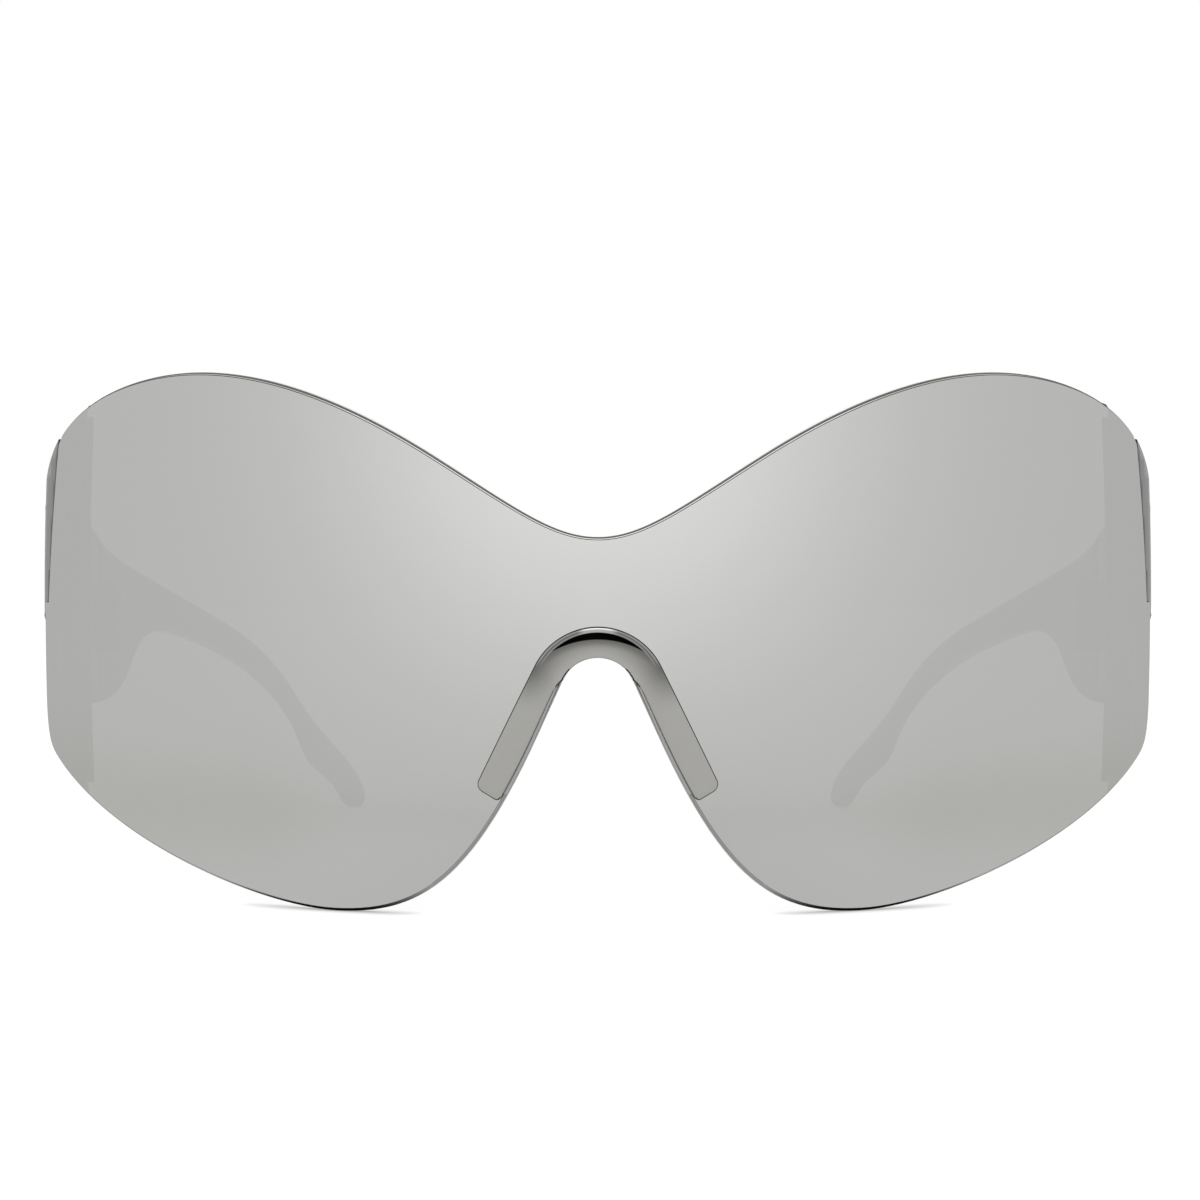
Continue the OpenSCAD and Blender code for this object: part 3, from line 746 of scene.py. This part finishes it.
# the ring runs down one side along its outer line, then up and over along its inner line
half = lipOutline()
lipTop = nose["topHeight"] + nose["lipWidth"]
ring = [(0, lipTop)] + half + [(0, nose["topHeight"])] + mirrored(half)
ring = [(alongFace(x, z), z) for x, z in ring]
gap, lip = nose["gap"], nose["lipThickness"]
frontLip = slab(ring, -lip, -gap)
bevelled(frontLip, rimAt(frontLip, -lip), nose["lipRound"], 3)
rearLip = slab(ring, lens["thickness"] + gap, lens["thickness"] + lip)
bevelled(rearLip, rimAt(rearLip, lens["thickness"] + lip), nose["lipRound"], 4)
pocket = nose["archRadius"] + nose["crownWall"] - gap
start = math.degrees(math.asin((flankTop[1] + gap - archHeight) / pocket))
innerStart = math.degrees(math.asin((flankTop[1] + gap - archHeight) / nose["archRadius"]))
plug = arc((0, archHeight), pocket, start, 180 - start, fine["plugTop"])
plug += arc((0, archHeight), nose["archRadius"], 180 - innerStart, innerStart, fine["plugFoot"])
plug = slab([(alongFace(x, z), z) for x, z in plug], -lip / 2, lens["thickness"] + lip / 2)
grip = combined(combined(frontLip, rearLip, "UNION"), plug, "UNION")
hollow = slab([(alongFace(x, z), z) for x, z in crescent()], -2, nose["recessDepth"] - lip)
grip = combined(grip, hollow, "DIFFERENCE")
# painted shade: the rim of the front lip is painted dark, most of all where the arch meets the legs, where a
# near-black painted shadow lies on its inner edge
rise = math.radians(nose["footRise"])
middle = nose["archRadius"] + nose["lipWidth"] / 2
grip.normal_update()
for f in grip.faces:
    spot, turn = f.calc_center_median(), f.normal
    if spot.y > -gap or not nose["faceTurn"] < turn.y < nose["edgeTurn"]:
        continue
    reach = abs(spot.x) * flankOut[0] + (spot.z - archHeight) * flankOut[1]
    if spot.z > archHeight + abs(spot.x) * math.tan(lean):
        reach = math.hypot(spot.x, spot.z - archHeight)
    toFoot = (abs(spot.x) - flankFoot[0]) * math.sin(rise) - (spot.z - flankFoot[1]) * math.cos(rise)
    if nose["shadeLow"] < spot.z < nose["shadeHigh"] and reach < middle:
        f.material_index = 2
    elif reach > middle or toFoot > -nose["lipRound"] * 2 or turn.y > -nose["edgeTurn"]:
        f.material_index = 1
cutRows(grip, 0, -nose["wide"], nose["wide"], fine["saddleCell"])
cutRows(grip, 2, nose["low"], nose["high"], fine["saddleRow"])
bend(grip, wrapped)
whole = joined([grip, noseWing(1), noseWing(-1)])
saddle = finished("noseSaddle", whole, [saddleSmoke, saddleEdgePaintedShade, saddleShade], sharp=35)
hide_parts("nose_saddle")
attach(saddle, "front")
print("saddle done")


# Temples: drawn in side view, then set between the two bowed faces
toe = math.radians(temple["toeIn"])
outward = (math.cos(toe), math.sin(toe))
rootDepth = edgeDepth + temple["reach"]
root = (halfWidth - temple["inset"], rootDepth)
outerRadius = temple["bowRadius"] + temple["thickness"] / 2
taper = temple["thickness"] - temple["tipThickness"]
innerRadius = 1 / (1 / outerRadius - 2 * taper / temple["length"] ** 2)
faceX = hinge["barrelRadius"] + hinge["barrelGap"]
hingeHeight = (temple["topHeight"] + temple["footHeight"]) / 2


def insideRoot(distance):
    return [root[k] - distance * outward[k] for k in (0, 1)]


outerCentre = insideRoot(temple["bowRadius"])
innerCentre = insideRoot(temple["thickness"] / 2 + innerRadius)
axis = insideRoot(temple["thickness"] / 2 + faceX)


def templeBow(side):
    def place(co):
        # co.x runs through the thickness, co.y is the depth behind the front of the lens
        outer = outerCentre[0] + math.sqrt(outerRadius ** 2 - (co.y - outerCentre[1]) ** 2)
        inner = innerCentre[0] + math.sqrt(innerRadius ** 2 - (co.y - innerCentre[1]) ** 2)
        x = inner + (outer - inner) * co.x / temple["thickness"]
        return Vector((side * x, co.y + shiftY, co.z))
    return place


def sideSlab(outline, rounding):
    bm = prism([(0, y, z) for y, z in outline], (temple["thickness"], 0, 0))
    bevelled(bm, [e for e in bm.edges if abs(e.verts[0].co.x - e.verts[1].co.x) < 1e-5], rounding, 4)
    return bm


templeLine = chain([(rootDepth, temple["topHeight"])]
                   + placed(temple["shares"], temple["length"], temple["topHeight"], (rootDepth, 0))
                   + [(rootDepth, temple["footHeight"])], fine["temple"])


# Where the temple and the end piece meet, both ends lean with the hinge
def leanEnd(bm, towards):
    for v in bm.verts:
        off = towards * (v.co.y - rootDepth)
        if off < temple["leanOver"]:
            x = axis[0] + (faceX + v.co.x) * math.cos(toe)
            lead = axis[1] + (x - axis[0]) * math.tan(toe) + towards * temple["gap"] / 2 - rootDepth
            v.co.y += lead * (1 - max(0, off) / temple["leanOver"])


def makeTemple(side, name):
    bm = sideSlab(templeLine, temple["round"])
    leanEnd(bm, 1)
    cutRows(bm, 1, rootDepth + temple["leanOver"], rootDepth + temple["length"], fine["sideRow"])
    bend(bm, templeBow(side))
    return finished(name, bm, [black], sharp=40)


# End piece: flange and tongue follow the lens, the wall follows the temple's bow
def shrunk(points, amount):
    out = []
    count = len(points)
    for i in range(count):
        ahead, behind = Vector(points[(i + 1) % count]), Vector(points[i - 1])
        along = (ahead - behind).normalized()
        out.append((points[i][0] + along.y * amount, points[i][1] - along.x * amount))
    return out


flangeFront = lens["thickness"] + flange["gap"]
flangeBack = flangeFront + flange["thickness"]
sideLine = [(alongFace(x, z), z) for x, z in lensLine(fine["rim"]) if x > halfWidth / 2]


# The flange keeps the part of the lens outline beyond its own inner edge
def makeFlange():
    kept, rim = [], shrunk(sideLine, -flange["inset"])
    for a, b in zip(rim, rim[1:]):
        if (a[0] > zoneU) != (b[0] > zoneU):
            kept.append((zoneU, a[1] + (b[1] - a[1]) * (zoneU - a[0]) / (b[0] - a[0])))
        if b[0] > zoneU:
            kept.append(b)
    steps = fine["flange"]
    heights = [kept[0][1] + (kept[-1][1] - kept[0][1]) * i / steps for i in range(1, steps)]
    bm = slab(kept + [(zoneU, z) for z in reversed(heights)], flangeFront, flangeBack)
    bevelled(bm, rimAt(bm, flangeBack), flange["round"], 3)
    return bm


# The tongue fills the notch of the lens
def makeTongue():
    low, gap = notch["footHeight"] + notch["gap"], notch["gap"]
    front = [(u, z) for u, z in sideLine if z > low and depthAt(u, z) > notchDepth(z) + gap]
    top = front[0][1]
    if front[-1][1] > low + 0.01:
        front.append((edgeU, low))
    rows = [low + (top - low) * i / fine["tongue"] for i in range(fine["tongue"])]
    bm = slab(front + [(notchU(z, gap), z) for z in rows], 0, flangeBack)
    bevelled(bm, rimAt(bm, 0), notch["round"], 2)
    return bm


def makeWall():
    start = edgeDepth - wall["start"]
    top = placed(wall["topShares"], temple["reach"], notch["topHeight"] - temple["topHeight"],
                 (edgeDepth, temple["topHeight"]))
    foot = placed(wall["footShares"], temple["reach"], notch["footHeight"] - temple["footHeight"],
                  (edgeDepth, temple["footHeight"]))
    # the top edge runs on towards the top of the notch
    slope = (notch["topHeight"] - top[0][1]) / notch["reach"]
    line = [(start, top[0][1] + (top[0][0] - start) * slope)]
    line += chain(top, fine["temple"]) + chain(foot, fine["temple"])
    bm = sideSlab([p for p in line if p[0] >= start], wall["round"])
    leanEnd(bm, -1)
    cutRows(bm, 1, start, rootDepth - temple["leanOver"], fine["wallCell"])
    cutRows(bm, 2, temple["footHeight"], notch["topHeight"], fine["sideRow"])
    bend(bm, templeBow(1))
    # the front of the wall ends at the face of the lens
    for v in bm.verts:
        x, y = v.co.x, wrapRadius - (v.co.y - shiftY)
        far = math.hypot(x, y)
        limit = wrapAt(v.co.z) - wall["trimGap"]
        if far > limit and y > 0 and v.co.y - shiftY < edgeDepth + wall["trimDepth"]:
            v.co.x, v.co.y = x * limit / far, wrapRadius - y * limit / far + shiftY
    return bm


def makeEndPiece(side, name):
    parts = [makeFlange(), makeTongue()]
    for part in parts:
        cutRows(part, 0, zoneU, edgeU, fine["flangeCell"])
        cutRows(part, 2, 0, lens["height"], fine["sideRow"])
        bend(part, wrapped)
    whole = joined(parts + [makeWall()])
    if side < 0:
        swapSides(whole)
    return finished(name, whole, [black], sharp=40)


# Hinge pieces in the hinge's own frame: x out of the side, y back along the temple
def atHinge(side):
    place = Matrix.Translation((side * axis[0], axis[1] + shiftY, hingeHeight))
    return place @ Matrix.Rotation(side * toe, 4, "Z") @ Matrix.Scale(side, 4, (1, 0, 0))


def placedPiece(side, parts, name, material):
    bm = joined(parts)
    bmesh.ops.transform(bm, matrix=atHinge(side), verts=bm.verts)
    return finished(name, bm, [material], sharp=35)


def block(low, high, rounding):
    bm = bmesh.new()
    bmesh.ops.create_cube(bm, size=1)
    size = [high[k] - low[k] for k in range(3)]
    bmesh.ops.scale(bm, vec=size, verts=bm.verts)
    bmesh.ops.translate(bm, vec=[(high[k] + low[k]) / 2 for k in range(3)], verts=bm.verts)
    if rounding:
        bevelled(bm, bm.edges[:], rounding, 2)
    return bm


def rod(radius, low, high, rounding):
    bm = bmesh.new()
    bmesh.ops.create_cone(bm, cap_ends=True, segments=fine["rod"], radius1=radius, radius2=radius,
                          depth=high - low)
    bmesh.ops.translate(bm, vec=(0, 0, (high + low) / 2), verts=bm.verts)
    bevelled(bm, [e for e in bm.edges if abs(e.verts[0].co.z - e.verts[1].co.z) < 1e-5], rounding, 3)
    return bm


leafBack = faceX + hinge["inlay"]
leafFront = leafBack - hinge["leafThickness"]
screwY = (faceX + hinge["leafLength"]) / 2


def makeLeaf(side, towards, first, name):
    h, count = hinge["height"], hinge["knuckles"]
    tall = (h - (count - 1) * hinge["knuckleGap"]) / count
    ends = sorted((towards * faceX, towards * hinge["leafLength"]))
    feet = sorted((0, towards * (faceX + hinge["leafThickness"])))
    barrel = hinge["barrelRadius"]
    parts = [block((leafFront, ends[0], -h / 2), (leafBack, ends[1], h / 2), hinge["leafRound"])]
    for k in range(first, count, 2):
        low = k * (tall + hinge["knuckleGap"]) - h / 2
        parts.append(rod(barrel, low, low + tall, hinge["knuckleRound"]))
        parts.append(block((barrel - hinge["leafThickness"], feet[0], low), (barrel, feet[1], low + tall),
                           hinge["footRound"]))
    return placedPiece(side, parts, name, hingeSteel)


# Slotted screw, its head as thick as the radius of its shank
def slottedScrew(radius, shank, length):
    head = rod(radius, 0, shank, shank * hinge["headRoundShare"])
    half, foot = shank * hinge["slotShare"], shank * hinge["slotDepthShare"]
    # the cutter stands out past the head, the shaft ends inside it
    slot = block((-radius * 1.2, -half, foot), (radius * 1.2, half, shank * 1.5), 0)
    shaft = rod(shank, -length, shank * 0.3, hinge["screwRound"])
    return joined([combined(head, slot, "DIFFERENCE"), shaft])


def makeLeafScrews(side, towards, name):
    parts = []
    for rise in (-1, 1):
        screw = slottedScrew(hinge["screwRadius"] * hinge["headShare"], hinge["screwRadius"],
                             hinge["screwLength"] + hinge["leafThickness"])
        turn = math.radians(hinge["slotTurn"] * rise + hinge["slotLead"] * towards)
        place = Matrix.Translation((leafFront, towards * screwY, rise * hinge["height"] / 4))
        lay = place @ Matrix.Rotation(-math.pi / 2, 4, "Y")
        bmesh.ops.transform(screw, matrix=lay @ Matrix.Rotation(turn, 4, "Z"), verts=screw.verts)
        parts.append(screw)
    return placedPiece(side, parts, name, screwSteel)


def makeHingeScrew(side, name):
    screw = slottedScrew(hinge["barrelRadius"] * hinge["pinHeadShare"], hinge["pinRadius"], hinge["height"])
    bmesh.ops.translate(screw, vec=(0, 0, hinge["height"] / 2), verts=screw.verts)
    return placedPiece(side, [screw], name, screwSteel)


def dress(piece, node, body):
    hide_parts(node)
    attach(piece, body)


for side, word in ((1, "left"), (-1, "right")):
    dress(makeTemple(side, word + "Temple"), "temple_" + word, word + "_temple")
    dress(makeLeaf(side, -1, 0, word + "FrontLeaf"), "front_leaf_" + word, "front")
    dress(makeLeaf(side, 1, 1, word + "TempleLeaf"), "temple_leaf_" + word, word + "_temple")
    dress(makeLeafScrews(side, -1, word + "FrontLeafScrews"), "front_leaf_screws_" + word, "front")
    dress(makeLeafScrews(side, 1, word + "TempleLeafScrews"), "temple_leaf_screws_" + word,
          word + "_temple")
    dress(makeHingeScrew(side, word + "HingeScrew"), "hinge_screw_" + word, "front")
    dress(makeEndPiece(side, word + "EndPiece"), "end_piece_" + word, "front")
print("temples and hinges done")

# Table: bright in reflections, with soft shadows where the camera sees it
table, nodes, links = newMaterial("whiteTable", (1, 1, 1))
paper = nodes.new("ShaderNodeBsdfDiffuse")
paper.inputs["Color"].default_value = (look["paper"], look["paper"], look["paper"], 1)
fill = nodes.new("ShaderNodeEmission")
fill.inputs["Strength"].default_value = look["table"]
near = nodes.new("ShaderNodeAmbientOcclusion")
near.samples = look["contactSamples"]
near.inputs["Distance"].default_value = look["contact"] * mm
dim = calc(nodes, links, "MULTIPLY_ADD", near.outputs["AO"], look["contactDepth"], 1 - look["contactDepth"])
links.new(dim, fill.inputs["Color"])
lit = nodes.new("ShaderNodeAddShader")
clear = nodes.new("ShaderNodeBsdfTransparent")
ray = nodes.new("ShaderNodeLightPath")
pick = nodes.new("ShaderNodeMixShader")
out = nodes.new("ShaderNodeOutputMaterial")
links.new(paper.outputs["BSDF"], lit.inputs[0])
links.new(fill.outputs["Emission"], lit.inputs[1])
links.new(ray.outputs["Is Glossy Ray"], pick.inputs["Fac"])
links.new(lit.outputs["Shader"], pick.inputs[1])
links.new(clear.outputs["BSDF"], pick.inputs[2])
links.new(pick.outputs["Shader"], out.inputs["Surface"])
bm = bmesh.new()
bmesh.ops.create_grid(bm, x_segments=1, y_segments=1, size=look["tableSpan"])
floor = finished("table", bm, [table])
floor.location.z = -look["tableDrop"] * mm

# Room: white all round, a soft glow over the camera and a faint olive band low down
world = bpy.data.worlds.new("studio")
bpy.context.scene.world = world
world.use_nodes = True
nodes, links = world.node_tree.nodes, world.node_tree.links
nodes.clear()
direction = nodes.new("ShaderNodeTexCoord")
split = nodes.new("ShaderNodeSeparateXYZ")
links.new(direction.outputs["Generated"], split.inputs[0])
height = calc(nodes, links, "MULTIPLY", calc(nodes, links, "ARCSINE", split.outputs["Z"]), 180 / math.pi)
ahead = calc(nodes, links, "MULTIPLY", split.outputs["Y"], -1)
tight = 1 / math.radians(look["glowWidth"]) ** 2
sideFall = calc(nodes, links, "EXPONENT", calc(nodes, links, "MULTIPLY_ADD", ahead, tight, -tight))
lift = bell(nodes, links, calc(nodes, links, "SUBTRACT", height, look["glowHeight"]), look["glowSpread"])
glow = calc(nodes, links, "MULTIPLY_ADD", lift, look["glow"], -look["glowDip"])
glow = calc(nodes, links, "MULTIPLY", sideFall, glow)
level = calc(nodes, links, "ADD", glow, 1)
# the band is broad at the sides, narrow and weak in the middle
sideways = ramp(nodes, links, ahead, look["bandStart"], look["bandFull"], True)
wide, narrow = look["bandWide"], look["bandNarrow"]
spread = calc(nodes, links, "MULTIPLY_ADD", sideways, wide - narrow, narrow)
strength = calc(nodes, links, "MULTIPLY_ADD", sideways, 1 - look["bandWeak"], look["bandWeak"])
offBand = calc(nodes, links, "SUBTRACT", height, look["bandHeight"])
offBand = calc(nodes, links, "MULTIPLY_ADD", ahead, look["bandSag"], offBand)
band = bell(nodes, links, offBand, spread)
band = calc(nodes, links, "MULTIPLY", calc(nodes, links, "MULTIPLY", band, strength), look["band"])
red = calc(nodes, links, "MULTIPLY", calc(nodes, links, "SUBTRACT", level, band), look["light"])
blueBand = calc(nodes, links, "MULTIPLY", band, look["bandBlue"])
blue = calc(nodes, links, "MULTIPLY", calc(nodes, links, "SUBTRACT", level, blueBand), look["light"])
mixed = nodes.new("ShaderNodeCombineColor")
links.new(red, mixed.inputs["Red"])
links.new(red, mixed.inputs["Green"])
links.new(blue, mixed.inputs["Blue"])
room = nodes.new("ShaderNodeBackground")
links.new(mixed.outputs["Color"], room.inputs["Color"])
plain = nodes.new("ShaderNodeBackground")
plain.inputs["Color"].default_value = (1, 1, 1, 1)
plain.inputs["Strength"].default_value = look["room"]
ray = nodes.new("ShaderNodeLightPath")
pick = nodes.new("ShaderNodeMixShader")
out = nodes.new("ShaderNodeOutputWorld")
links.new(ray.outputs["Is Camera Ray"], pick.inputs["Fac"])
links.new(room.outputs["Background"], pick.inputs[1])
links.new(plain.outputs["Background"], pick.inputs[2])
links.new(pick.outputs["Shader"], out.inputs["Surface"])

camera = bpy.data.cameras.new("camera")
camera.sensor_width = 36
camera.lens = cameraPlace["focal"]
camera.shift_x = cameraPlace["shiftX"]
camera.shift_y = cameraPlace["shiftY"]
camera.clip_start = 0.01
camera.clip_end = 100
eye = bpy.data.objects.new("camera", camera)
bpy.context.scene.collection.objects.link(eye)
eye.location = (0, (shiftY - cameraPlace["distance"]) * mm, cameraPlace["height"] * mm)
eye.rotation_euler = (math.pi / 2, 0, 0)
bpy.context.scene.camera = eye
bpy.context.scene.view_settings.view_transform = "Standard"
print("room and camera done")
